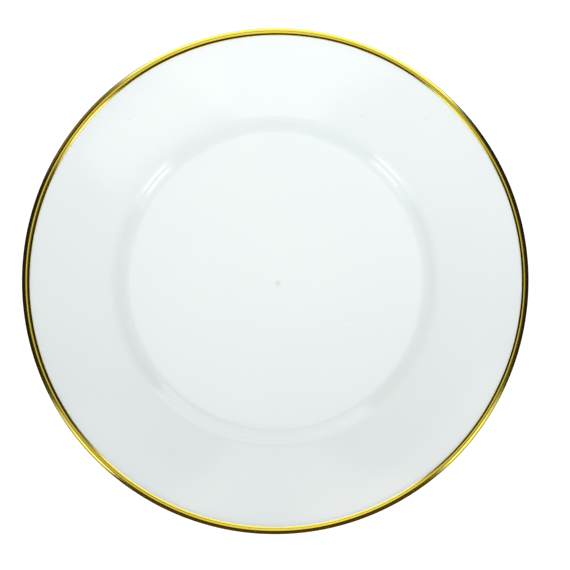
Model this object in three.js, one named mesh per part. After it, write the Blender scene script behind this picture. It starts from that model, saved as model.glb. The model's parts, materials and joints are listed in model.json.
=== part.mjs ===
// A china dinner plate with a raised gold rim, as a three.js scene graph in millimetres, +Z up.
// The origin is the centre of the foot ring's underside, so the plate stands on z = 0.
//
// The plate is made the way a pottery makes it, one layer per mesh:
//   porcelain_body  the pressed and fired clay, with its foot ring and the bead along its edge
//   glaze_coat      the glass-hard glaze over the face, the edge and the underside, down to the foot
//   recess_glaze    the separate patch of glaze inside the foot ring
//   gold_rim        the band of gold fired over the glazed bead
//
// Every layer is turned from one cross-section. A tilt below is the angle of the surface's normal
// from straight up, positive towards the edge: 0 on the well's floor, 90 at the outermost point and
// 180 on the underside. Lengths are in millimetres and tilts in degrees.

import * as THREE from "three";

// ---- driving dimensions ----
const PLATE_DIAMETER = 267; // 10 1/2 inches over the gold
const WELL_RADIUS = 76.8; // the flat floor that the food lies on
const WELL_THICKNESS = 4.2; // clay and both glazes, at the floor
const RECESS_DEPTH = 3.6; // from the table up to the ceiling inside the foot ring

const SHOULDER_ARC = 11.05; // both arcs of the S-shaped step between floor and flange
const SHOULDER_TILT = -36; // the steepest point of that step
const SHOULDER_WALL = 3.6; // wall thickness round the step
const FLANGE_INNER_TILT = -10.5; // the flange, where it leaves the step
const FLANGE_OUTER_TILT = -7; // and where it meets the bead, because it is very slightly domed

const BEAD_ARC = 2.62; // crown of the raised bead, over the glaze
const BEAD_TILT = 44; // the crown's slope where it meets the flange and the outer edge
const BEAD_FILLET = 0.5; // the small hollow between flange and bead
const EDGE_UPPER_ARC = 0.5; // the outer edge, above and below its widest point
const EDGE_LOWER_ARC = 1.2;

const UNDER_FLANGE_TILT = 171; // the underside of the flange, just inside the edge
const FOOT_FLAT_OUTER = 73.4; // the unglazed ring that touches the table
const FOOT_FLAT_INNER = 71;
const FOOT_CORNER = 0.5; // rounding on both sides of that ring
const FOOT_DRAFT = 8; // both walls of the foot ring lean by this much
const FOOT_FILLET = 1.8; // where the foot ring runs into the plate
const GLAZE_STOP = 0.8; // the glaze is wiped off the foot below this height

const GLAZE = 0.25; // glaze thickness
const GOLD = 0.25; // gold band thickness
const LAYER_GAP = 0.05; // clearance that keeps one layer's mesh off the next

const BISQUE_COLOUR = 0xf0f1ee;
const GLAZE_COLOUR = 0xedf5f5;
const GOLD_COLOUR = 0xf6e06a;

const TURN_SEGMENTS = 40; // flat sides round the plate
const ARC_STEP = 24; // most degrees between points along an arc

// ---- derived dimensions ----
const OUTER_RADIUS = PLATE_DIAMETER / 2;
const FLOOR_HEIGHT = RECESS_DEPTH + WELL_THICKNESS;
const GOLD_LIFT = LAYER_GAP + GOLD; // from the glaze's surface to the gold's
const BODY_DEPTH = GLAZE + LAYER_GAP; // from the glaze's surface to the clay's
const sin = (degrees) => Math.sin(THREE.MathUtils.degToRad(degrees));
const cos = (degrees) => Math.cos(THREE.MathUtils.degToRad(degrees));
const CORNER_TOP = FOOT_CORNER * (1 - sin(FOOT_DRAFT)); // where the foot's rounded corner ends

// ---- a curve with normals ----
// A Skin is a smooth chain of arcs and straight runs. Each point keeps its tilt, so the whole chain
// can be moved in or out along its normals to make the next layer.
class Skin {
  constructor(radius, height, tilt) {
    this.points = [{ radius, height, tilt }];
  }

  get end() {
    return this.points[this.points.length - 1];
  }

  // A straight run, as far as the given radius.
  lineToRadius(radius) {
    const { radius: r, height: h, tilt } = this.end;
    const height = h - ((radius - r) * sin(tilt)) / cos(tilt);
    this.points.push({ radius, height, tilt });
    return this;
  }

  // A straight run, as far as the given height.
  lineToHeight(height) {
    const { radius: r, height: h, tilt } = this.end;
    const radius = r - ((height - h) * cos(tilt)) / sin(tilt);
    this.points.push({ radius, height, tilt });
    return this;
  }

  // An arc that turns the surface to the given tilt. side is 1 where the surface bulges out of the
  // material and -1 where it is hollow.
  arc(arcRadius, tilt, side) {
    const from = this.end;
    const centreRadius = from.radius - side * arcRadius * sin(from.tilt);
    const centreHeight = from.height - side * arcRadius * cos(from.tilt);
    const turn = tilt - from.tilt;
    const count = Math.ceil(Math.abs(turn) / ARC_STEP);
    for (let i = 1; i <= count; i++) {
      const t = from.tilt + (turn * i) / count;
      this.points.push({
        radius: centreRadius + side * arcRadius * sin(t),
        height: centreHeight + side * arcRadius * cos(t),
        tilt: t,
      });
    }
    return this;
  }

  bulge(arcRadius, tilt) {
    return this.arc(arcRadius, tilt, 1);
  }

  hollow(arcRadius, tilt) {
    return this.arc(arcRadius, tilt, -1);
  }

  mark() {
    return this.points.length - 1;
  }

  // The chain moved outwards by lift along its normals, as plane points for a lathe.
  offset(lift, first = 0, last = this.points.length - 1) {
    return this.points
      .slice(first, last + 1)
      .map((p) => new THREE.Vector2(
        Math.max(0, p.radius + lift * sin(p.tilt)),
        p.height + lift * cos(p.tilt),
      ));
  }
}

// ---- the glaze's surface, from the centre of the face to the foot's outer wall ----
function plateSkin() {
  const skin = new Skin(0, FLOOR_HEIGHT, 0);
  skin.lineToRadius(WELL_RADIUS);
  skin.hollow(SHOULDER_ARC, SHOULDER_TILT);
  skin.bulge(SHOULDER_ARC, FLANGE_INNER_TILT);

  // The flange's dome is one long arc that leaves exactly the bead's width before the edge.
  const beadWidth = 2 * BEAD_ARC * sin(BEAD_TILT) + EDGE_UPPER_ARC * (1 - sin(BEAD_TILT));
  const filletWidth = BEAD_FILLET * (sin(BEAD_TILT) + sin(FLANGE_OUTER_TILT));
  const flangeEnd = OUTER_RADIUS - GOLD_LIFT - beadWidth - filletWidth;
  const dome = (flangeEnd - skin.end.radius) / (sin(FLANGE_OUTER_TILT) - sin(FLANGE_INNER_TILT));
  skin.bulge(dome, FLANGE_OUTER_TILT);

  skin.hollow(BEAD_FILLET, -BEAD_TILT);
  const goldStart = skin.mark();
  skin.bulge(BEAD_ARC, BEAD_TILT);
  skin.bulge(EDGE_UPPER_ARC, 90);
  skin.bulge(EDGE_LOWER_ARC, UNDER_FLANGE_TILT);
  const goldEnd = skin.mark();

  // The underside follows the step at its wall's thickness, then runs flat to the foot ring.
  const lowerArc = SHOULDER_ARC + SHOULDER_WALL;
  const upperArc = SHOULDER_ARC - SHOULDER_WALL;
  const underStep = new Skin(WELL_RADIUS, FLOOR_HEIGHT - SHOULDER_WALL, 180);
  underStep.bulge(lowerArc, 180 + SHOULDER_TILT);
  underStep.hollow(upperArc, 180 + FLANGE_INNER_TILT);
  skin.points.push(...underStep.points.reverse());
  skin.lineToRadius(filletStart(FOOT_FLAT_OUTER, 1, skin.end.height));
  skin.hollow(FOOT_FILLET, 90 + FOOT_DRAFT);
  skin.lineToHeight(GLAZE_STOP);
  return { skin, goldStart, goldEnd };
}

// The radius of a foot wall's glaze at a height. side is 1 for the outer wall, -1 for the inner one.
function footWall(flatRadius, side, height) {
  const corner = FOOT_CORNER * cos(FOOT_DRAFT);
  const lean = ((height - CORNER_TOP) * sin(FOOT_DRAFT)) / cos(FOOT_DRAFT);
  return flatRadius + side * (corner + lean + BODY_DEPTH / cos(FOOT_DRAFT));
}

// Where the fillet of a foot wall leaves the level surface above it.
function filletStart(flatRadius, side, ceiling) {
  const wallTop = ceiling - FOOT_FILLET * (1 - sin(FOOT_DRAFT));
  return footWall(flatRadius, side, wallTop) + side * FOOT_FILLET * cos(FOOT_DRAFT);
}

// ---- the glaze's surface inside the foot ring, from the centre to the inner wall ----
function recessSkin() {
  const wall = footWall(FOOT_FLAT_INNER, -1, GLAZE_STOP);
  const skin = new Skin(wall, GLAZE_STOP, 270 - FOOT_DRAFT);
  skin.lineToHeight(RECESS_DEPTH - FOOT_FILLET * (1 - sin(FOOT_DRAFT)));
  skin.hollow(FOOT_FILLET, 180);
  skin.lineToRadius(0);
  skin.points.reverse();
  return skin;
}

// ---- the bare clay ring that stands on the table, from the outer glaze to the inner one ----
function bareFoot(outerWall) {
  const foot = new Skin(outerWall.x, outerWall.y, 90 + FOOT_DRAFT);
  foot.lineToHeight(CORNER_TOP);
  foot.bulge(FOOT_CORNER, 180);
  foot.lineToRadius(FOOT_FLAT_INNER);
  foot.bulge(FOOT_CORNER, 270 - FOOT_DRAFT);
  return foot.offset(0).slice(1);
}

// ---- turning an outline into a solid ----
// An outline runs anticlockwise, seen with the axis on its left, so that its faces point outwards.
function turned(name, outline, colour, roughness, metalness = 0) {
  const geometry = new THREE.LatheGeometry(outline, TURN_SEGMENTS);
  geometry.rotateX(Math.PI / 2); // a lathe turns about +Y, and the plate's axis is +Z
  const material = new THREE.MeshStandardMaterial({ color: colour, roughness, metalness });
  const mesh = new THREE.Mesh(geometry, material);
  mesh.name = name;
  return mesh;
}

// ---- the four layers ----
const { skin: plate, goldStart, goldEnd } = plateSkin();
const recess = recessSkin();

function porcelainBody() {
  const outside = plate.offset(-BODY_DEPTH);
  const foot = bareFoot(outside[outside.length - 1]);
  const inside = recess.offset(-BODY_DEPTH).reverse();
  const outline = [...outside, ...foot, ...inside].reverse();
  return turned("porcelain_body", outline, BISQUE_COLOUR, 0.7);
}

function glazeCoat() {
  const outline = [...plate.offset(-GLAZE), ...plate.offset(0).reverse()];
  return turned("glaze_coat", outline, GLAZE_COLOUR, 0.07);
}

function recessGlaze() {
  const outline = [...recess.offset(0), ...recess.offset(-GLAZE).reverse()];
  return turned("recess_glaze", outline, GLAZE_COLOUR, 0.07);
}

function goldRim() {
  const underside = plate.offset(LAYER_GAP, goldStart, goldEnd);
  const surface = plate.offset(GOLD_LIFT, goldStart, goldEnd).reverse();
  const outline = [...underside, ...surface, underside[0].clone()];
  return turned("gold_rim", outline, GOLD_COLOUR, 0.12, 1);
}

const dinnerPlate = new THREE.Group();
dinnerPlate.add(porcelainBody(), glazeCoat(), recessGlaze(), goldRim());

export default dinnerPlate;
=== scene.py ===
# %% [markdown]
# # A china dinner plate with a gold rim
#
# The plate is a body of fired clay, a skin of glaze on each side of its foot ring, and a band of gold
# over the bead along its edge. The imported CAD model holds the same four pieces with 40 flat sides.
# Here each is turned again as a smooth surface, given a finish, and put under a soft studio light.
#
# The frame comes first, because every size below starts from it.

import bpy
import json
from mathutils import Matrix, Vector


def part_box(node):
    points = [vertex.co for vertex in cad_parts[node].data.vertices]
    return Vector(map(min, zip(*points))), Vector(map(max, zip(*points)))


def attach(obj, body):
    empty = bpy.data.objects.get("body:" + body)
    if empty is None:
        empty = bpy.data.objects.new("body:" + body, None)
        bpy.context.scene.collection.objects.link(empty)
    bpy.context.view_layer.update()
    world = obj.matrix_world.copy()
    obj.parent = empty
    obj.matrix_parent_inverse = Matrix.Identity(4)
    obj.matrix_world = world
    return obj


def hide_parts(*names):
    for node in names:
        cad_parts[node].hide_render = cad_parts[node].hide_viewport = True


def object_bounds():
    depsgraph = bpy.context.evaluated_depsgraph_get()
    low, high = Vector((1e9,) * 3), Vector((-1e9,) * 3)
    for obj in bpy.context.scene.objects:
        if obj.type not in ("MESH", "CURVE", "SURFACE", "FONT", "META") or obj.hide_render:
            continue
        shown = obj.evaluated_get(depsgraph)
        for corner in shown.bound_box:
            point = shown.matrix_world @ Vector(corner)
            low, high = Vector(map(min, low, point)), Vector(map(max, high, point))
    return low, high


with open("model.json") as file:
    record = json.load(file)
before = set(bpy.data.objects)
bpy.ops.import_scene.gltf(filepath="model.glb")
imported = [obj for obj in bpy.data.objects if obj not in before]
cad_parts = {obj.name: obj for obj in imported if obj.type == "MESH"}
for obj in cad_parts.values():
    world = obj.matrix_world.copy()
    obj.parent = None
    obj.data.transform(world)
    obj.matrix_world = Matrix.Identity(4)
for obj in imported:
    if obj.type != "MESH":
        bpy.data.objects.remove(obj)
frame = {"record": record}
cad_box = [list(corner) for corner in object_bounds()]
print("CAD box, metres:", cad_box)

# %% Libraries and units
import json
import math

import bpy
import numpy as np
from mathutils import Matrix, Vector

MM = 0.001  # every shape below is worked out in millimetres, and Blender holds metres
degrees = math.radians
sin = lambda angle: math.sin(degrees(angle))
cos = lambda angle: math.cos(degrees(angle))

# %% [markdown]
# ## The plate's cross-section
#
# A potter's plate is pressed between a spinning mould and a steel template, so one section describes
# all of it. It could be drawn as a Bezier curve and given a Screw modifier. Here it is a chain of arcs
# and straight runs instead, because each point can then keep its *tilt*, the angle of the surface's
# normal from straight up. With the tilt known, the clay, the glaze and the gold are the same chain
# moved in or out along its normals, exactly as fired layers lie on each other.
#
# A tilt is 0 on the well's floor, negative where the surface leans towards the middle, 90 at the
# outermost point and 180 on the underside.

# %% Sizes that the frame gives
mounts = {mount["name"]: mount for mount in frame["record"]["mounts"]}
OUTER_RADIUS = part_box("gold_rim")[1].x / MM
RIM_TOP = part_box("gold_rim")[1].z / MM
FLOOR_HEIGHT = mounts["well_floor"]["pos_m"][2] / MM
GLAZE_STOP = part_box("recess_glaze")[0].z / MM  # the glaze is wiped off the foot below this
GLAZE = 0.25
RECESS_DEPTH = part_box("recess_glaze")[1].z / MM - GLAZE
print(f"radius {OUTER_RADIUS:.2f}, rim {RIM_TOP:.2f}, well floor {FLOOR_HEIGHT:.2f} mm high")

# %% Sizes of the section, in millimetres and degrees
WELL_RADIUS = 76.8
SHOULDER_ARC = 11.05
SHOULDER_TILT = -36
SHOULDER_WALL = 3.6
FLANGE_INNER_TILT = -10.5
FLANGE_OUTER_TILT = -7
BEAD_ARC = 2.62
BEAD_TILT = 44
BEAD_FILLET = 0.5
EDGE_UPPER_ARC = 0.5
EDGE_LOWER_ARC = 1.2
UNDER_FLANGE_TILT = 171
FOOT_FLAT_OUTER = 73.4
FOOT_FLAT_INNER = 71
FOOT_CORNER = 0.5
FOOT_DRAFT = 8
FOOT_FILLET = 1.8
GOLD_LIFT = 0.2999  # from the glaze's surface to the gold's, just inside the CAD's 0.3
BODY_DEPTH = 0.3  # from the glaze's surface to the clay's
CORNER_TOP = FOOT_CORNER * (1 - sin(FOOT_DRAFT))

# %% Arcs and straight runs
# A section is an array with a row for each point: radius, height, tilt in degrees.
BULGE, HOLLOW = 1, -1  # an arc's side: out of the material, or into it

def begin(radius, height, tilt):
    """A section of one point."""
    return np.array([[radius, height, tilt]], float)


def run(section, radius, spacing):
    """Carries a section straight on to a radius, with points no further apart than spacing. The
    height falls by tan(tilt) for each millimetre out."""
    r, z, tilt = section[-1]
    count = max(1, math.ceil(abs(radius - r) / spacing))
    radii = np.linspace(r, radius, count + 1)[1:]
    heights = z - (radii - r) * math.tan(degrees(tilt))
    return np.vstack([section, np.column_stack([radii, heights, np.full(count, tilt)])])


def drop(section, height):
    """Carries a section straight on to a height, along its own slope."""
    r, z, tilt = section[-1]
    radius = r - (height - z) * cos(tilt) / sin(tilt)
    return np.vstack([section, [radius, height, tilt]])


def bend(section, arc, tilt, side, step):
    """Carries a section on along an arc until it has turned to a tilt. A point of the arc at tilt t
    is its centre + side * arc * (sin t, cos t), where side is BULGE or HOLLOW. step is the most
    degrees from one point to the next."""
    r, z, start = section[-1]
    count = max(1, math.ceil(abs(tilt - start) / step))
    tilts = np.linspace(start, tilt, count + 1)[1:]
    centre = np.array([r - side * arc * sin(start), z - side * arc * cos(start)])
    t = np.radians(tilts)
    points = centre + side * arc * np.column_stack([np.sin(t), np.cos(t)])
    return np.vstack([section, np.column_stack([points, tilts])])


def lifted(section, lift):
    """The section moved outwards along its normals: (r + lift sin t, z + lift cos t). A lift can be
    one number or one for each point."""
    t = np.radians(section[:, 2])
    radii = np.maximum(0, section[:, 0] + lift * np.sin(t))
    return np.column_stack([radii, section[:, 1] + lift * np.cos(t), section[:, 2]])

# %% [markdown]
# ## The glazed surface
#
# The glaze's surface is the chain that everything else is measured from. It runs from the middle of
# the face over the shoulder, the flange and the bead, round the edge, and back along the underside to
# the foot ring. Points are close together only where the surface turns, or where a small mark has to
# show in it, so the mesh stays light.

# %% The foot ring's walls
OUTER, INNER = 1, -1  # a foot wall's side

def foot_wall(flat, side, height):
    """The radius of a foot wall's glaze at a height: the flat's edge, its rounded corner, the wall's
    lean and the glaze. side is OUTER or INNER."""
    lean = (height - CORNER_TOP) * math.tan(degrees(FOOT_DRAFT))
    return flat + side * (FOOT_CORNER * cos(FOOT_DRAFT) + lean + BODY_DEPTH / cos(FOOT_DRAFT))


def fillet_start(flat, side, ceiling):
    """Where the fillet of a foot wall leaves the level surface above it."""
    top = ceiling - FOOT_FILLET * (1 - sin(FOOT_DRAFT))
    return foot_wall(flat, side, top) + side * FOOT_FILLET * cos(FOOT_DRAFT)

# %% From the middle of the face to the foot
MARK_REACH = 4.4  # the middle of the floor has fine rings out to here, for the small mark in it
UNDER_FLANGE_RUNS = 11  # straight runs under the flange, from the edge in to the step

def plate_skin():
    """The glaze's surface, and the rows where the gold starts and ends on it."""
    skin = run(begin(0, FLOOR_HEIGHT, 0), MARK_REACH, spacing=0.16)
    skin = run(skin, WELL_RADIUS, spacing=6)
    skin = bend(skin, SHOULDER_ARC, SHOULDER_TILT, HOLLOW, step=3)
    skin = bend(skin, SHOULDER_ARC, FLANGE_INNER_TILT, BULGE, step=3)

    bead_width = 2 * BEAD_ARC * sin(BEAD_TILT) + EDGE_UPPER_ARC * (1 - sin(BEAD_TILT))
    fillet_width = BEAD_FILLET * (sin(BEAD_TILT) + sin(FLANGE_OUTER_TILT))
    flange_end = OUTER_RADIUS - GOLD_LIFT - bead_width - fillet_width
    dome = (flange_end - skin[-1, 0]) / (sin(FLANGE_OUTER_TILT) - sin(FLANGE_INNER_TILT))
    skin = bend(skin, dome, FLANGE_OUTER_TILT, BULGE, step=0.15)
    skin = bend(skin, BEAD_FILLET, -BEAD_TILT, HOLLOW, step=9)
    gold_start = len(skin) - 1
    skin = bend(skin, BEAD_ARC, BEAD_TILT, BULGE, step=4)
    skin = bend(skin, EDGE_UPPER_ARC, 90, BULGE, step=8)
    skin = bend(skin, EDGE_LOWER_ARC, UNDER_FLANGE_TILT, BULGE, step=9)
    gold_end = len(skin) - 1

    under = begin(WELL_RADIUS, FLOOR_HEIGHT - SHOULDER_WALL, 180)
    under = bend(under, SHOULDER_ARC + SHOULDER_WALL, 180 + SHOULDER_TILT, BULGE, step=5)
    under = bend(under, SHOULDER_ARC - SHOULDER_WALL, 180 + FLANGE_INNER_TILT, HOLLOW, step=6)
    crossing = np.linspace(skin[-1], under[-1], UNDER_FLANGE_RUNS + 1)[1:-1]
    skin = np.vstack([skin, crossing, under[::-1]])
    skin = run(skin, fillet_start(FOOT_FLAT_OUTER, OUTER, skin[-1, 1]), spacing=2)
    skin = bend(skin, FOOT_FILLET, 90 + FOOT_DRAFT, HOLLOW, step=10)
    return drop(skin, GLAZE_STOP), gold_start, gold_end


def recess_skin():
    """The glaze's surface inside the foot ring, from the centre to the inner wall."""
    skin = begin(foot_wall(FOOT_FLAT_INNER, INNER, GLAZE_STOP), GLAZE_STOP, 270 - FOOT_DRAFT)
    skin = drop(skin, RECESS_DEPTH - FOOT_FILLET * (1 - sin(FOOT_DRAFT)))
    skin = bend(skin, FOOT_FILLET, 180, HOLLOW, step=10)
    return run(skin, 0, spacing=5)[::-1]


face, gold_start, gold_end = plate_skin()
recess = recess_skin()
print(f"{len(face)} points in the face's section, {len(recess)} in the recess's")

# %% [markdown]
# ## Turning a section into a mesh
#
# A Screw modifier would turn the section too, but it gives perfect circles only. A real plate moves a
# little in the kiln: the flange sags by a fraction of a millimetre, more in two places than between
# them. So the turning is a grid of points worked out here, one row for each point of the section and
# one column for each angle, and the sag is added to the whole grid at once.

# %% The kiln's sag
COLUMNS = 360
SAG = 0.35  # mm, where the flange has sunk most
SAG_ANGLE = 25  # degrees from +X to the first high spot
SHOULDER_TOP = WELL_RADIUS - SHOULDER_ARC * (2 * sin(SHOULDER_TILT) - sin(FLANGE_INNER_TILT))

def sagged(radius, angle):
    """How far the plate has sunk at a radius and an angle: nothing inside the shoulder, then growing
    with the square of the way out, times (1 - cos of twice the angle) / 2. It never rises."""
    out = np.clip((radius - SHOULDER_TOP) / (OUTER_RADIUS - SHOULDER_TOP), 0, 1)
    return SAG * out**2 * (1 - np.cos(2 * (angle - degrees(SAG_ANGLE)))) / 2

# %% The grid and its faces
def ring_faces(rows, joined):
    """Quads between neighbouring rows and columns of a grid of rows by COLUMNS points. joined also
    closes the last row to the first."""
    last = rows if joined else rows - 1
    row = np.arange(last)[:, None]
    column = np.arange(COLUMNS)[None, :]
    below = row * COLUMNS
    above = ((row + 1) % rows) * COLUMNS
    beside = (column + 1) % COLUMNS
    quads = np.stack([below + column, below + beside, above + beside, above + column], axis=-1)
    return quads.reshape(-1, 4)


def turned(outline, joined):
    """Turns an outline that runs anticlockwise, seen with the axis on its left, into points and
    faces. The point of a row at angle a is (r cos a, r sin a, z - sag). An outline that starts and
    ends on the axis is closed with one point at each end, and any other is joined to itself."""
    angle = np.arange(COLUMNS) * 2 * np.pi / COLUMNS
    ring = outline if joined else outline[1:-1]
    radius, height = ring[:, :1], ring[:, 1:2]
    grid = np.stack([
        radius * np.cos(angle),
        radius * np.sin(angle),
        height - sagged(radius, angle[None, :]),
    ], axis=-1).reshape(-1, 3)
    faces = [ring_faces(len(ring), joined)]
    if joined:
        return grid, faces
    first, last = len(grid), len(grid) + 1
    column = np.arange(COLUMNS)
    beside = (column + 1) % COLUMNS
    top_row = (len(ring) - 1) * COLUMNS
    poles = np.array([[0, 0, outline[0, 1]], [0, 0, outline[-1, 1]]])
    faces.append(np.column_stack([np.full(COLUMNS, first), beside, column]))
    faces.append(np.column_stack([np.full(COLUMNS, last), top_row + column, top_row + beside]))
    return np.vstack([grid, poles]), faces

# %% Filling a mesh
def enclosed_volume(points, faces):
    """The signed volume inside the faces: a sixth of the sum of a . (b x c) over their triangles."""
    total = 0
    for group in faces:
        a = points[group[:, 0]]
        for k in range(1, group.shape[1] - 1):
            total += np.einsum("ij,ij->", a, np.cross(points[group[:, k]], points[group[:, k + 1]]))
    return total / 6


def piece(name, points, faces):
    """Makes an object from points in millimetres and arrays of faces, smooth all over."""
    mesh = bpy.data.meshes.new(name)
    sizes = np.concatenate([np.full(len(group), group.shape[1]) for group in faces])
    corners = np.concatenate([group.ravel() for group in faces])
    mesh.vertices.add(len(points))
    mesh.loops.add(len(corners))
    mesh.polygons.add(len(sizes))
    mesh.vertices.foreach_set("co", (points * MM).astype(np.float32).ravel())
    mesh.loops.foreach_set("vertex_index", corners.astype(np.int32))
    mesh.polygons.foreach_set("loop_start", np.concatenate([[0], np.cumsum(sizes)[:-1]]).astype(np.int32))
    mesh.update(calc_edges=True)
    mesh.shade_smooth()
    made = bpy.data.objects.new(name, mesh)
    bpy.context.scene.collection.objects.link(made)
    volume = enclosed_volume(points, faces) / 1000
    print(f"{name}: {len(points)} points, {len(sizes)} faces, {volume:.2f} cm3")
    return made


def mark(obj, name, values):
    """Writes one number for each point of a piece, which its material can read by that name."""
    obj.data.attributes.new(name, "FLOAT", "POINT").data.foreach_set("value", values.astype(np.float32))

# %% [markdown]
# ## The clay body
#
# Only the foot ring shows bare clay, but the body is made whole, as a shell of the section 0.3 mm
# under the glaze's surface, so the plate could be looked at in a cut.

# %% Porcelain body
def bare_foot(wall):
    """The clay ring that stands on the table, from the end of the outer wall to the inner one."""
    foot = drop(begin(wall[0], wall[1], 90 + FOOT_DRAFT), CORNER_TOP)
    foot = bend(foot, FOOT_CORNER, 180, BULGE, step=12)
    foot = run(foot, FOOT_FLAT_INNER, spacing=0.8)
    return bend(foot, FOOT_CORNER, 270 - FOOT_DRAFT, BULGE, step=12)[1:]


outside = lifted(face, -BODY_DEPTH)
inside = lifted(recess, -BODY_DEPTH)[::-1]
body_outline = np.vstack([outside, bare_foot(outside[-1]), inside])[::-1]
porcelain = piece("china_body", *turned(body_outline, False))

# %% [markdown]
# ## The glaze
#
# Glaze melts in the kiln and runs, so it is thicker in hollows and thinner over edges. Where it is
# thick it looks a little greener and deeper. That could be painted by hand as a vertex colour. Here
# it is worked out from the section itself, because the chain knows which of its arcs are hollow: the
# change of tilt from one point to the next is negative there on the way out.

# %% Where glaze gathers
FULL_POOL = 12  # a hollow this sharp, in degrees of tilt for each millimetre, holds all it can
SOFTENED_OVER = 9  # points of the section

def gathered(section):
    """How much glaze gathers at each point of a section, from 0 to 1: the hollow part of its
    curvature over FULL_POOL, softened over its neighbours."""
    steps = np.diff(section, axis=0)
    length = np.maximum(1e-6, np.hypot(steps[:, 0], steps[:, 1]))
    hollow = np.clip(-steps[:, 2] / length, 0, FULL_POOL) / FULL_POOL
    hollow = np.concatenate([[0], hollow])
    window = np.hanning(SOFTENED_OVER)
    return np.convolve(hollow, window / window.sum(), mode="same")


HIDDEN_STEP = 3  # the side of a shell that never shows keeps every third point

def shell(name, section, pool, surface_up):
    """A closed shell of glaze: the section itself on one side and GLAZE deeper on the other. Its
    points carry how much glaze has gathered and whether they face down. surface_up says which of
    the two comes last, so that the outline runs anticlockwise."""
    front = np.column_stack([section, pool, section[:, 2] > 90])
    back = np.vstack([front[:-1:HIDDEN_STEP], front[-1]])
    back[:, :3] = lifted(back[:, :3], -GLAZE)
    rows = np.vstack([back, front[::-1]] if surface_up else [front, back[::-1]])
    made = piece(name, *turned(rows[:, :3], False))
    for label, values in (("pooling", rows[:, 3]), ("underside", rows[:, 4])):
        mark(made, label, np.concatenate([np.repeat(values[1:-1], COLUMNS), values[[0, -1]]]))
    return made


glaze = shell("clear_glaze_coat", face, gathered(face), True)

# %% The small mark in the middle of the floor
MARK_PLACE = (1.4, -1.3)  # mm from the axis: plates are turned a little off centre
MARK_RADIUS = 2.2
MARK_DEPTH = 0.06

def pressed_mark(obj):
    """Presses a shallow cup into the floor's surface: it sinks by MARK_DEPTH times
    (1 - (d / MARK_RADIUS) squared) squared, where d is the distance from the mark's middle."""
    mesh = obj.data
    points = np.empty(len(mesh.vertices) * 3, np.float32)
    mesh.vertices.foreach_get("co", points)
    points = points.reshape(-1, 3)
    away = np.hypot(points[:, 0] / MM - MARK_PLACE[0], points[:, 1] / MM - MARK_PLACE[1])
    cup = np.clip(1 - (away / MARK_RADIUS) ** 2, 0, None) ** 2
    on_face = points[:, 2] > (FLOOR_HEIGHT - GLAZE / 2) * MM
    points[:, 2] -= MARK_DEPTH * MM * cup * on_face
    mesh.vertices.foreach_set("co", points.ravel())
    mark(obj, "centre_mark", cup * on_face)
    mesh.update()
    print(f"centre mark: {np.count_nonzero(cup * on_face)} points pressed in")


pressed_mark(glaze)

# %% Glaze inside the foot ring
recess_pool = gathered(recess[::-1])[::-1]
recess_glaze = shell("recess_glaze_coat", recess, recess_pool, False)

# %% [markdown]
# ## The gold band
#
# Liquid gold is brushed over the bead while the plate turns on a banding wheel, and fired. The brush
# wavers, so the band's edge on the inner slope isn't quite a circle. The film is thin, so its edge
# has to fade down to the glaze instead of standing up as a wall. A closed shell is turned as before,
# and the points near its two lips are pulled towards the glaze.

# %% Gold rim
GOLD_BACK = 0.05  # how far the back of the shell stands off the glaze
LIP = 0.45  # mm along the section over which the film thins to nothing
FILM = 0.02  # thickness left at the lip
WAVER = 0.1  # mm, how far the brushed edge wanders
OFF_CENTRE = 0.25  # mm, how far the brushed edge's circle sits towards +X
NARROWER = 0.12  # mm, how far the brush stops short of the bead's foot
WANDER_FADE = 4 * LIP  # mm along the section, over which the wandering dies out

def brushed(angle):
    """How far the band's inner edge wanders at an angle, in millimetres: a brush held off centre,
    and four slow waves that fit whole numbers of times round the plate."""
    waves = ((2, 0.5, 0.3), (5, 0.3, 1.7), (11, 0.25, 4.1), (23, 0.12, 2.6))
    wander = WAVER * sum(size * np.sin(times * angle + start) for times, size, start in waves)
    return NARROWER + OFF_CENTRE * np.cos(angle) + wander


band = face[gold_start:gold_end + 1]
along = np.concatenate([[0], np.cumsum(np.hypot(*np.diff(band[:, :2], axis=0).T))])
rise = np.clip(np.minimum(along, along[-1] - along) / LIP, 0, 1)
film = GOLD_BACK + FILM + (GOLD_LIFT - GOLD_BACK - FILM) * np.sin(rise * np.pi / 2)
back, front = lifted(band, GOLD_BACK), lifted(band, film)
gold_points, gold_faces = turned(np.vstack([back, front[::-1]]), True)
turn = np.arctan2(gold_points[:, 1], gold_points[:, 0])
inner_share = np.clip(1 - np.concatenate([along, along[::-1]]) / WANDER_FADE, 0, 1)
reach = np.hypot(gold_points[:, 0], gold_points[:, 1])
shift = brushed(turn) * np.repeat(inner_share, COLUMNS)
gold_points[:, :2] *= (1 + shift / reach)[:, None]
gold = piece("gold_band", gold_points, gold_faces)

# %% [markdown]
# ## Nodes by hand
#
# A material's nodes can be clicked together in the Shader Editor. In a script the same graph is
# easier to read when adding a node and wiring its inputs is one call, so there is one helper for it.
# A finish below is then a few lines that say what feeds what.

# %% A helper for nodes
def add(tree, kind, inputs=None, **settings):
    """Adds a node and fills its inputs. An input is a plain value, or another node's output socket,
    which is linked."""
    made = tree.nodes.new(kind)
    for name, value in settings.items():
        setattr(made, name, value)
    for key, value in (inputs or {}).items():
        if isinstance(value, bpy.types.NodeSocket):
            tree.links.new(value, made.inputs[key])
        else:
            made.inputs[key].default_value = value
    return made


def maths(tree, operation, *values):
    """One Math node's result."""
    return add(tree, "ShaderNodeMath", dict(enumerate(values)), operation=operation).outputs[0]


def blend_colours(tree, share, first, second):
    """A mix of two colours: the first where share is 0, the second where it is 1. A Mix node has
    sockets for every kind of data: its inputs 6 and 7 and its output 2 are the colours."""
    made = add(tree, "ShaderNodeMix", {0: share, 6: first, 7: second}, data_type="RGBA")
    return made.outputs[2]


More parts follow.
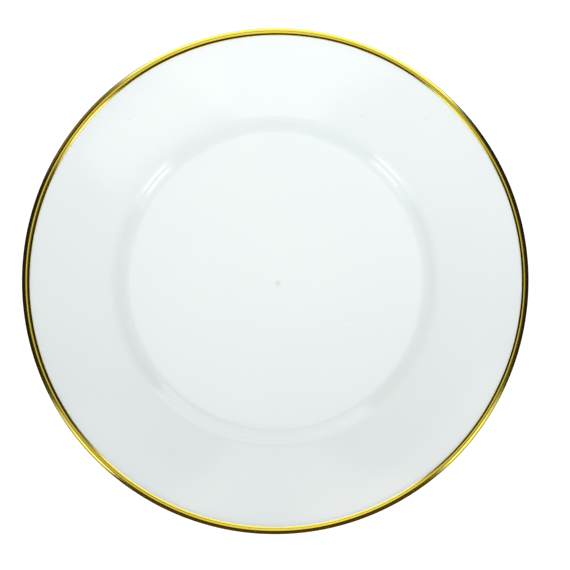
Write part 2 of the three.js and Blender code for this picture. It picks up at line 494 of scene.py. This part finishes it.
def group(name, inputs, outputs):
    """An empty shader node group with its input and output sockets, given as name: type."""
    tree = bpy.data.node_groups.new(name, "ShaderNodeTree")
    for direction, sockets in (("INPUT", inputs), ("OUTPUT", outputs)):
        for label, kind in sockets.items():
            tree.interface.new_socket(label, in_out=direction, socket_type="NodeSocket" + kind)
    return tree, tree.nodes.new("NodeGroupInput").outputs, tree.nodes.new("NodeGroupOutput").inputs

# %% [markdown]
# ## Effects that the finishes share
#
# Two effects turn up in more than one finish: a noise of a known size between two values, and the
# same noise drawn out into streaks round the plate's axis. A third, a small round spot, is used many
# times in one. Each is a node group with named inputs, built once and placed with its own values.
# They measure from Object coordinates, so a pattern stays on the plate when it is turned or moved.

# %% Small round spots
def soft_spot():
    """Mask is 1 at Place and fades smoothly to 0 at Reach from it, seen along the axis."""
    tree, given, result = group(
        "soft_spot", {"Place": "Vector", "Reach": "Float"}, {"Mask": "Float"})
    place = add(tree, "ShaderNodeTexCoord").outputs["Object"]
    flat = add(tree, "ShaderNodeVectorMath", {0: place, 1: (1, 1, 0)}, operation="MULTIPLY")
    away = add(tree, "ShaderNodeVectorMath", {0: flat.outputs[0], 1: given["Place"]},
               operation="DISTANCE").outputs["Value"]
    fade = add(tree, "ShaderNodeMapRange",
               {"Value": away, "From Max": given["Reach"], "To Min": 1, "To Max": 0},
               interpolation_type="SMOOTHSTEP")
    tree.links.new(fade.outputs[0], result["Mask"])
    return tree


SOFT_SPOT = soft_spot()

# %% Noise between two values
NOISE_LOW, NOISE_HIGH = 0.3, 0.7  # most of a Noise node's values lie between these
NOISE_INPUTS = {"Size": "Float", "Low": "Float", "High": "Float"}

def spread_noise(tree, space, given):
    """A noise read in a space, with blobs of about Size, spread between Low and High."""
    noise = add(tree, "ShaderNodeTexNoise",
                {"Vector": space, "Scale": maths(tree, "DIVIDE", 1, given["Size"])})
    spread = add(tree, "ShaderNodeMapRange",
                 {"Value": noise.outputs[0], "From Min": NOISE_LOW, "From Max": NOISE_HIGH,
                  "To Min": given["Low"], "To Max": given["High"]})
    return spread.outputs[0]


def unevenness():
    """Value is the noise read in Space."""
    tree, given, result = group(
        "unevenness", {"Space": "Vector", **NOISE_INPUTS}, {"Value": "Float"})
    tree.links.new(spread_noise(tree, given["Space"], given), result["Value"])
    return tree


UNEVENNESS = unevenness()

# %% Streaks round the axis
def turned_streaks():
    """Value is the noise read in a space stretched round the axis, (x / radius, y / radius,
    (radius + height) * Fineness), so it runs round the plate and closes on itself."""
    tree, given, result = group(
        "turned_streaks", {"Fineness": "Float", **NOISE_INPUTS}, {"Value": "Float"})
    place = add(tree, "ShaderNodeTexCoord").outputs["Object"]
    x, y, z = add(tree, "ShaderNodeSeparateXYZ", {0: place}).outputs
    flat = add(tree, "ShaderNodeCombineXYZ", {0: x, 1: y}).outputs[0]
    radius = add(tree, "ShaderNodeVectorMath", {0: flat}, operation="LENGTH").outputs["Value"]
    round_axis = add(tree, "ShaderNodeVectorMath", {0: flat}, operation="NORMALIZE").outputs[0]
    across = maths(tree, "MULTIPLY", maths(tree, "ADD", radius, z), given["Fineness"])
    lift = add(tree, "ShaderNodeCombineXYZ", {2: across}).outputs[0]
    space = add(tree, "ShaderNodeVectorMath", {0: round_axis, 1: lift}, operation="ADD").outputs[0]
    tree.links.new(spread_noise(tree, space, given), result["Value"])
    return tree


TURNED_STREAKS = turned_streaks()

# %% Using a group, and starting a finish
def placed(tree, node_group, **inputs):
    """Places a node group in a material, fills its inputs and gives back its outputs."""
    made = tree.nodes.new("ShaderNodeGroup")
    made.node_tree = node_group
    for key, value in inputs.items():
        if isinstance(value, bpy.types.NodeSocket):
            tree.links.new(value, made.inputs[key])
        else:
            made.inputs[key].default_value = value
    return made.outputs


def finish(name, obj):
    """Puts a new material on a piece and gives its node tree and its Principled BSDF."""
    material = bpy.data.materials.new(name)
    material.use_nodes = True
    obj.data.materials.append(material)
    tree = material.node_tree
    return tree, tree.nodes["Principled BSDF"]


print("shared effects:", ", ".join(tree.name for tree in (SOFT_SPOT, UNEVENNESS, TURNED_STREAKS)))

# %% [markdown]
# ## Glazed china
#
# Glazed porcelain is white clay seen through a thin clear glass. A glass shell over a white body
# would be the literal way, but light would have to find its way in and out of it, which is slow and
# grainy. A Principled BSDF already has both parts: a matt base colour for the clay and a sharp
# reflection over it for the glass. What makes it china and not plastic is in the small things: the
# cool white, the deeper tone where glaze has gathered, its slow waviness, and a few dark specks.

# %% Glazed china
CHINA_WHITE = (0.80, 0.86, 0.895, 1)
GATHERED_WHITE = (0.735, 0.83, 0.86, 1)
SPECK_GREY = (0.46, 0.49, 0.48, 1)
MARK_GREY = (0.67, 0.725, 0.735, 1)
SPECKS = ((46, 87), (-77, 85), (80, 85), (38, -21), (80, -32), (-75, -22))  # mm from the axis
SPECK_REACH = 0.45 * MM
POOL_SHARE = 0.12  # how far gathered glaze goes towards the deeper tone
WAVE_HEIGHT = 0.012 * MM  # of the glaze's slow waves

def speck_mask(tree):
    """1 on every speck in the face's glaze and 0 elsewhere: the largest of their soft spots."""
    mask = 0.0
    for x, y in SPECKS:
        spot = placed(tree, SOFT_SPOT, Place=(x * MM, y * MM, 0), Reach=SPECK_REACH)["Mask"]
        mask = maths(tree, "MAXIMUM", mask, spot)
    return mask


def glazed_china(name, obj, is_face):
    """The glaze. Only the face has the specks and the mark in the middle."""
    tree, shader = finish(name, obj)
    space = add(tree, "ShaderNodeTexCoord").outputs["Object"]
    pooling = add(tree, "ShaderNodeAttribute", attribute_name="pooling").outputs["Fac"]
    underside = add(tree, "ShaderNodeAttribute", attribute_name="underside").outputs["Fac"]

    cloud = placed(tree, UNEVENNESS, Space=space, Size=0.06, Low=0.0, High=0.16)["Value"]
    depth = maths(tree, "ADD", cloud, maths(tree, "MULTIPLY", pooling, POOL_SHARE))
    colour = blend_colours(tree, depth, CHINA_WHITE, GATHERED_WHITE)
    if is_face:
        mark_share = add(tree, "ShaderNodeAttribute", attribute_name="centre_mark").outputs["Fac"]
        colour = blend_colours(tree, mark_share, colour, MARK_GREY)
        dots = maths(tree, "MULTIPLY", speck_mask(tree), maths(tree, "SUBTRACT", 1, underside))
        colour = blend_colours(tree, dots, colour, SPECK_GREY)
    tree.links.new(colour, shader.inputs["Base Color"])

    gloss = placed(tree, UNEVENNESS, Space=space, Size=0.02, Low=0.05, High=0.1)["Value"]
    tree.links.new(gloss, shader.inputs["Roughness"])
    shader.inputs["IOR"].default_value = 1.52
    shader.inputs["Specular IOR Level"].default_value = 0.9

    waves = placed(tree, UNEVENNESS, Space=space, Size=0.018, Low=0.0, High=1.0)["Value"]
    peel = placed(tree, UNEVENNESS, Space=space, Size=0.0022, Low=0.0, High=0.04)["Value"]
    rings = placed(tree, TURNED_STREAKS, Fineness=260.0, Size=1.0, Low=0.0, High=0.5)["Value"]
    height = maths(tree, "ADD", waves, peel)
    height = maths(tree, "ADD", height, maths(tree, "MULTIPLY", rings, underside))
    bump = add(tree, "ShaderNodeBump", {"Height": height, "Strength": 1.0, "Distance": WAVE_HEIGHT})
    tree.links.new(bump.outputs[0], shader.inputs["Normal"])
    print(f"{name}: {len(tree.nodes)} nodes")


glazed_china("glazed_china", glaze, True)
glazed_china("glazed_china_recess", recess_glaze, False)

# %% [markdown]
# ## Bare clay
#
# The foot ring is wiped before firing and rubbed smooth after it, so its flat is a little darker and
# more polished than its corners, and the clay shows a fine sandy grain.

# %% Bare clay
CLAY = (0.80, 0.795, 0.765, 1)
CLAY_SHADE = (0.66, 0.645, 0.605, 1)
WORN = 0.45  # how much smoother the foot's flat is; it also scales the rubbed streaks there
GRAIN_HEIGHT = 0.06 * MM

def bare_clay(name, obj):
    """The clay. It is worn where it meets the table, and less so up to the top of the corners."""
    tree, shader = finish(name, obj)
    space = add(tree, "ShaderNodeTexCoord").outputs["Object"]
    height = add(tree, "ShaderNodeSeparateXYZ", {0: space}).outputs["Z"]
    worn = add(tree, "ShaderNodeMapRange",
               {"Value": height, "From Max": CORNER_TOP * MM, "To Min": WORN, "To Max": 0})
    grain = placed(tree, UNEVENNESS, Space=space, Size=0.0006, Low=0.0, High=0.5)["Value"]
    rubbed = placed(tree, TURNED_STREAKS, Fineness=2600.0, Size=0.7, Low=0.0, High=0.4)["Value"]
    shade = maths(tree, "ADD", grain, maths(tree, "MULTIPLY", worn.outputs[0], rubbed))
    colour = blend_colours(tree, shade, CLAY, CLAY_SHADE)
    tree.links.new(colour, shader.inputs["Base Color"])
    tree.links.new(maths(tree, "SUBTRACT", 0.85, worn.outputs[0]), shader.inputs["Roughness"])
    bump = add(tree, "ShaderNodeBump", {"Height": grain, "Strength": 0.6, "Distance": GRAIN_HEIGHT})
    tree.links.new(bump.outputs[0], shader.inputs["Normal"])
    print(f"{name}: {len(tree.nodes)} nodes")


bare_clay("bare_clay", porcelain)

# %% [markdown]
# ## Fired gold
#
# Bright gold is a film of metal that copies the glaze under it, so it is nearly a mirror. The brush
# and the banding wheel leave faint streaks that run round the plate, in tone and in gloss. They are
# one noise read in the stretched space, so no seam shows where the band closes.

# %% Fired gold
GOLD_LIGHT = (0.985, 0.835, 0.155, 1)
GOLD_DEEP = (0.94, 0.755, 0.105, 1)
STREAK_HEIGHT = 0.01 * MM

def fired_gold(name, obj):
    """The gold: brush streaks and a slow cloud in its tone, and the streaks alone in its gloss."""
    tree, shader = finish(name, obj)
    space = add(tree, "ShaderNodeTexCoord").outputs["Object"]
    streaks = placed(tree, TURNED_STREAKS, Fineness=1500.0, Size=0.8, Low=0.0, High=1.0)["Value"]
    cloud = placed(tree, UNEVENNESS, Space=space, Size=0.012, Low=0.0, High=0.6)["Value"]
    tone = maths(tree, "MULTIPLY", maths(tree, "ADD", streaks, cloud), 0.5)
    tree.links.new(blend_colours(tree, tone, GOLD_LIGHT, GOLD_DEEP), shader.inputs["Base Color"])
    shader.inputs["Metallic"].default_value = 1
    gloss = add(tree, "ShaderNodeMapRange", {"Value": streaks, "To Min": 0.09, "To Max": 0.17})
    tree.links.new(gloss.outputs[0], shader.inputs["Roughness"])
    bump = add(tree, "ShaderNodeBump", {"Height": streaks, "Strength": 0.5, "Distance": STREAK_HEIGHT})
    tree.links.new(bump.outputs[0], shader.inputs["Normal"])
    print(f"{name}: {len(tree.nodes)} nodes")


fired_gold("fired_gold", gold)

# %% [markdown]
# ## Joining the frame
#
# The plate has no joints, so all four pieces ride on its one body, and each stands for its CAD node.

# %% Riding and replacing
for made, node in ((porcelain, "porcelain_body"), (glaze, "glaze_coat"),
                   (recess_glaze, "recess_glaze"), (gold, "gold_rim")):
    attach(made, "root")
    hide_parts(node)

# %% [markdown]
# ## The studio
#
# A glossy white plate and a gold band need two kinds of light at once. The white wants an even, soft
# light from everywhere. The gold only shows what it mirrors, and in an even white room it would look
# flat, so it wants a dark room with a few bright soft boxes. A studio gets both with diffusers and
# black flags. Here the world is a dome that answers each kind of ray in its own way: rays that left a
# matt surface see the soft fill, rays that left a glossy one see the boxes, and the camera sees white.

# %% Soft windows in the dome
scene = bpy.context.scene

def soft_window():
    """Mask is 1 where Value lies between Low and High, and fades to 0 over Softness outside them."""
    tree, given, result = group(
        "soft_window", {"Value": "Float", "Low": "Float", "High": "Float", "Softness": "Float"},
        {"Mask": "Float"})
    low_edge = maths(tree, "SUBTRACT", given["Low"], given["Softness"])
    high_edge = maths(tree, "ADD", given["High"], given["Softness"])
    up = add(tree, "ShaderNodeMapRange", {"Value": given["Value"], "From Min": low_edge,
             "From Max": given["Low"]}, interpolation_type="SMOOTHSTEP").outputs[0]
    down = add(tree, "ShaderNodeMapRange", {"Value": given["Value"], "From Min": given["High"],
               "From Max": high_edge, "To Min": 1, "To Max": 0},
               interpolation_type="SMOOTHSTEP").outputs[0]
    tree.links.new(maths(tree, "MULTIPLY", up, down), result["Mask"])
    return tree


SOFT_WINDOW = soft_window()

# %% What gloss sees
# Each box is: the light it gives, its azimuth and its angle from straight up, in degrees, and the
# width of its soft edge.
BOXES = (
    ((0.97, 1.0, 1.1), (50, 124), (38, 94), 5),  # the large box beyond the plate
    ((0.55, 0.58, 0.66), (54, 120), (70, 95), 12),  # its lower part is brighter
    ((0.5, 0.48, 0.42), (45, 130), (27, 38), 3),  # and its glow on the ceiling above
    ((0.26, 0.18, 0.04), (128, 146), (58, 94), 9),  # warm spill beside it
    ((0.75, 0.76, 0.78), (-151, -136), (28, 88), 5),  # two strips on the near side
    ((0.75, 0.76, 0.78), (-46, -29), (28, 88), 5),
    ((1.9, 1.92, 2.0), (-145, -134), (46, 55), 2),  # and the hot middle of each
    ((2.3, 2.32, 2.4), (-45, -34), (45, 56), 2),
    ((0.06, 0.035, 0.01), (-122, -58), (48, 92), 12),  # the near wall, faint
    ((0.55, 0.52, 0.42), (105, 152), (8, 12), 3),  # and three ends of the bank overhead
    ((0.3, 0.29, 0.26), (50, 85), (8, 12), 3),
    ((0.6, 0.57, 0.5), (-80, -25), (8, 12), 3),
)
ROOM = (0.018, 0.013, 0.008)
OVERHEAD = (0.17, 0.16, 0.14)
OVERHEAD_REACH = 14  # degrees from straight up, and as much again to fade
BANK = (0.70, 0.67, 0.62)  # the long bank of light over the table
BANK_MIDDLE = -0.035  # across, as the sine of the angle from straight up
BANK_HALF_WIDTH = 0.065
BANK_SOFTNESS = 0.03

def lit_by(tree, room, mask, light):
    """The room's colour with a light added to it where the mask is."""
    return add(tree, "ShaderNodeVectorMath", {0: mask, 1: light, 2: room},
               operation="MULTIPLY_ADD").outputs[0]


def mirrored_room(tree, direction):
    """What the dome shows to glossy rays: the boxes, the bank and the dim room, added up."""
    x, y, z = add(tree, "ShaderNodeSeparateXYZ", {0: direction}).outputs
    azimuth = maths(tree, "DEGREES", maths(tree, "ARCTAN2", y, x))
    from_up = maths(tree, "DEGREES", maths(tree, "ARCCOSINE", z))
    room = add(tree, "ShaderNodeCombineXYZ", dict(enumerate(ROOM))).outputs[0]
    for light, sides, heights, softness in BOXES:
        wide = placed(tree, SOFT_WINDOW, Value=azimuth, Low=sides[0], High=sides[1],
                      Softness=softness)["Mask"]
        tall = placed(tree, SOFT_WINDOW, Value=from_up, Low=heights[0], High=heights[1],
                      Softness=softness)["Mask"]
        room = lit_by(tree, room, maths(tree, "MULTIPLY", wide, tall), light)
    # The overhead window's low side is under 0, so it doesn't fade towards straight up.
    overhead = placed(tree, SOFT_WINDOW, Value=from_up, Low=-1.0, High=OVERHEAD_REACH,
                      Softness=OVERHEAD_REACH)["Mask"]
    across = placed(tree, SOFT_WINDOW, Value=x, Low=BANK_MIDDLE - BANK_HALF_WIDTH,
                    High=BANK_MIDDLE + BANK_HALF_WIDTH, Softness=BANK_SOFTNESS)["Mask"]
    room = lit_by(tree, room, overhead, OVERHEAD)
    return lit_by(tree, room, maths(tree, "MULTIPLY", overhead, across), BANK)

# %% What matt surfaces see
# Broad white glows over the table: the strength of each, its azimuth and its angle from straight up.
GLOWS = (
    (1.65, 205, 68),
    (2.2, 300, 68),
    (0.95, 90, 80),
)
GLOW_POWER = 4  # a glow falls off with this power of the cosine of the angle from its middle

def matt_fill(tree, direction):
    """The sum of the glows, each times the cosine to its power."""
    fill = add(tree, "ShaderNodeCombineXYZ").outputs[0]
    for strength, azimuth, from_up in GLOWS:
        middle = (sin(from_up) * cos(azimuth), sin(from_up) * sin(azimuth), cos(from_up))
        towards = add(tree, "ShaderNodeVectorMath", {0: direction, 1: middle},
                      operation="DOT_PRODUCT").outputs["Value"]
        glow = maths(tree, "POWER", maths(tree, "MAXIMUM", towards, 0), GLOW_POWER)
        fill = lit_by(tree, fill, glow, (strength,) * 3)
    return fill

# %% The whole dome
DOME_WHITE = (1.05, 1.05, 1.05, 1)  # what the camera sees past the plate

def studio_dome():
    """The world: white for the camera, the soft fill for matt surfaces, the boxes for glossy ones."""
    world = bpy.data.worlds.new("studio_dome")
    scene.world = world
    world.use_nodes = True
    world.cycles.sampling_method = "NONE"
    tree = world.node_tree
    direction = add(tree, "ShaderNodeTexCoord").outputs["Generated"]
    ray = add(tree, "ShaderNodeLightPath").outputs
    seen = blend_colours(tree, ray["Is Glossy Ray"], matt_fill(tree, direction),
                         mirrored_room(tree, direction))
    seen = blend_colours(tree, ray["Is Camera Ray"], seen, DOME_WHITE)
    tree.links.new(seen, tree.nodes["Background"].inputs["Color"])


studio_dome()
print(f"studio dome: {len(BOXES)} boxes and {len(GLOWS)} glows")

# %% Lamps for the white
# They shape the fill, so that the plate is brightest beyond the middle and falls off towards the
# viewer. Gloss doesn't see them, because it already sees the boxes.

# Each lamp is: its name, where it stands in metres, its size and its power in watts.
LAMPS = (
    ("overhead_lamp", (-0.02, 0.03, 0.4), 0.12, 0.38),
    ("far_right_lamp", (0.34, 0.3, 0.27), 0.16, 0.68),
    ("far_left_lamp", (-0.21, 0.34, 0.22), 0.16, 0.33),
)
LAMP_COLOUR = (1, 0.95, 0.87)  # a little warm, against the cool white of the china

def soft_lamp(name, place, size, watts):
    """A round area light, aimed at the middle of the plate."""
    lamp = bpy.data.lights.new(name, "AREA")
    lamp.shape = "DISK"
    lamp.size = size
    lamp.energy = watts
    lamp.color = LAMP_COLOUR
    obj = bpy.data.objects.new(name, lamp)
    obj.location = place
    obj.rotation_euler = (-Vector(place)).to_track_quat("-Z", "Y").to_euler()
    obj.visible_glossy = False
    obj.visible_camera = False
    scene.collection.objects.link(obj)
    print(f"{name}: {watts} W, {Vector(place).length:.2f} m from the plate's middle")


for name, place, size, watts in LAMPS:
    soft_lamp(name, place, size, watts)

# %% [markdown]
# ## The floor
#
# The floor is a plain white sheet. A sheet lit by the same lamps would show a grey halo round the
# plate, so for the camera it also glows: everything beyond the rim washes out to white, and only the
# shade under the flange is left. Matt surfaces see a part of that glow, which lights the underside.
# Glossy rays see the sheet dark, like the black flags that are laid beside gold to draw its edge, and
# bright only where the large box stands over it. From below the sheet isn't there, so the plate's
# foot can be looked at.

# %% The floor
FLOOR_GLOW = 0.88  # what the camera sees
FLOOR_BOUNCE = 0.6  # what matt surfaces see
FLOOR_WHITE = (0.35, 0.35, 0.35, 1)
FLAG = 0.015  # what gloss sees, beside the plate
FLAG_LIT = 0.8  # what is added to that on the far side
FLAG_SIDES = (58, 116)  # from one azimuth to the other, in degrees
FLAG_SOFTNESS = 8.0  # degrees over which its sides fade
FLAG_START = OUTER_RADIUS * MM  # the lit part begins beyond the plate, so the foot doesn't mirror it
FLOOR_HALF = 3  # metres
FLOOR_GAP = 0.05 * MM  # under the foot ring

def studio_floor():
    """A square sheet just under the foot ring."""
    mesh = bpy.data.meshes.new("floor")
    z = cad_box[0][2] - FLOOR_GAP
    corners = [(x * FLOOR_HALF, y * FLOOR_HALF, z) for x, y in ((-1, -1), (1, -1), (1, 1), (-1, 1))]
    mesh.from_pydata(corners, [], [(0, 1, 2, 3)])
    floor = bpy.data.objects.new("floor", mesh)
    scene.collection.objects.link(floor)
    material = bpy.data.materials.new("white_sheet")
    material.use_nodes = True
    # So close to the foot, a sheet that is sampled as a lamp leaves dark streaks there.
    material.cycles.emission_sampling = "NONE"
    mesh.materials.append(material)
    tree = material.node_tree
    tree.nodes.clear()
    ray = add(tree, "ShaderNodeLightPath").outputs
    place = add(tree, "ShaderNodeTexCoord").outputs["Object"]
    x, y = add(tree, "ShaderNodeSeparateXYZ", {0: place}).outputs[:2]
    azimuth = maths(tree, "DEGREES", maths(tree, "ARCTAN2", y, x))
    beyond = placed(tree, SOFT_WINDOW, Value=azimuth, Low=FLAG_SIDES[0], High=FLAG_SIDES[1],
                    Softness=FLAG_SOFTNESS)["Mask"]
    away = add(tree, "ShaderNodeVectorMath", {0: place}, operation="LENGTH").outputs["Value"]
    beyond = maths(tree, "MULTIPLY", beyond, maths(tree, "GREATER_THAN", away, FLAG_START))

    glow = maths(tree, "ADD", maths(tree, "MULTIPLY", ray["Is Camera Ray"], FLOOR_GLOW),
                 maths(tree, "MULTIPLY", ray["Is Diffuse Ray"], FLOOR_BOUNCE))
    matt = add(tree, "ShaderNodeBsdfDiffuse", {"Color": FLOOR_WHITE}).outputs[0]
    lit = add(tree, "ShaderNodeEmission", {"Strength": glow}).outputs[0]
    sheet = add(tree, "ShaderNodeAddShader", {0: matt, 1: lit}).outputs[0]
    flag_light = maths(tree, "ADD", FLAG, maths(tree, "MULTIPLY", beyond, FLAG_LIT))
    flag = add(tree, "ShaderNodeEmission", {"Strength": flag_light}).outputs[0]
    seen = add(tree, "ShaderNodeMixShader", {0: ray["Is Glossy Ray"], 1: sheet, 2: flag}).outputs[0]
    gone = add(tree, "ShaderNodeBsdfTransparent").outputs[0]
    under = add(tree, "ShaderNodeNewGeometry").outputs["Backfacing"]
    seen = add(tree, "ShaderNodeMixShader", {0: under, 1: seen, 2: gone}).outputs[0]
    add(tree, "ShaderNodeOutputMaterial", {"Surface": seen})


studio_floor()
print(f"floor: {2 * FLOOR_HALF} m square, {FLOOR_GAP / MM:.2f} mm under the foot ring")

# %% [markdown]
# ## The camera
#
# The view is almost straight down, leaning a few degrees towards the viewer and to the right, with +Y
# at the top. A long lens keeps the rim and the floor at the same scale. The frame is a little wider
# than the plate, and the plate sits a little to the upper left of its middle.

# %% The camera
FRAME_WIDTH = 299.8 * MM  # what the frame takes in, at the height of the rim
VIEW_MIDDLE = Vector((5.5 * MM, -2.65 * MM, RIM_TOP * MM))
DISTANCE = 1.5
LEAN_RIGHT = 1.6
LEAN_NEAR = 2.3
SENSOR = 36

def overhead_camera():
    """A camera on the line through VIEW_MIDDLE that leans by the two angles, with +Y up."""
    camera = bpy.data.cameras.new("camera")
    camera.sensor_width = SENSOR
    camera.lens = SENSOR * DISTANCE / FRAME_WIDTH
    back = Vector((sin(LEAN_RIGHT), -sin(LEAN_NEAR), 1)).normalized()
    right = (Vector((1, 0, 0)) - back * back.x).normalized()
    obj = bpy.data.objects.new("camera", camera)
    obj.matrix_world = Matrix.Translation(VIEW_MIDDLE + back * DISTANCE) @ Matrix(
        (right, back.cross(right), back)).transposed().to_4x4()
    scene.collection.objects.link(obj)
    scene.camera = obj
    print(f"camera: a {camera.lens:.0f} mm lens, {DISTANCE} m away")


overhead_camera()
scene.view_settings.view_transform = "Standard"
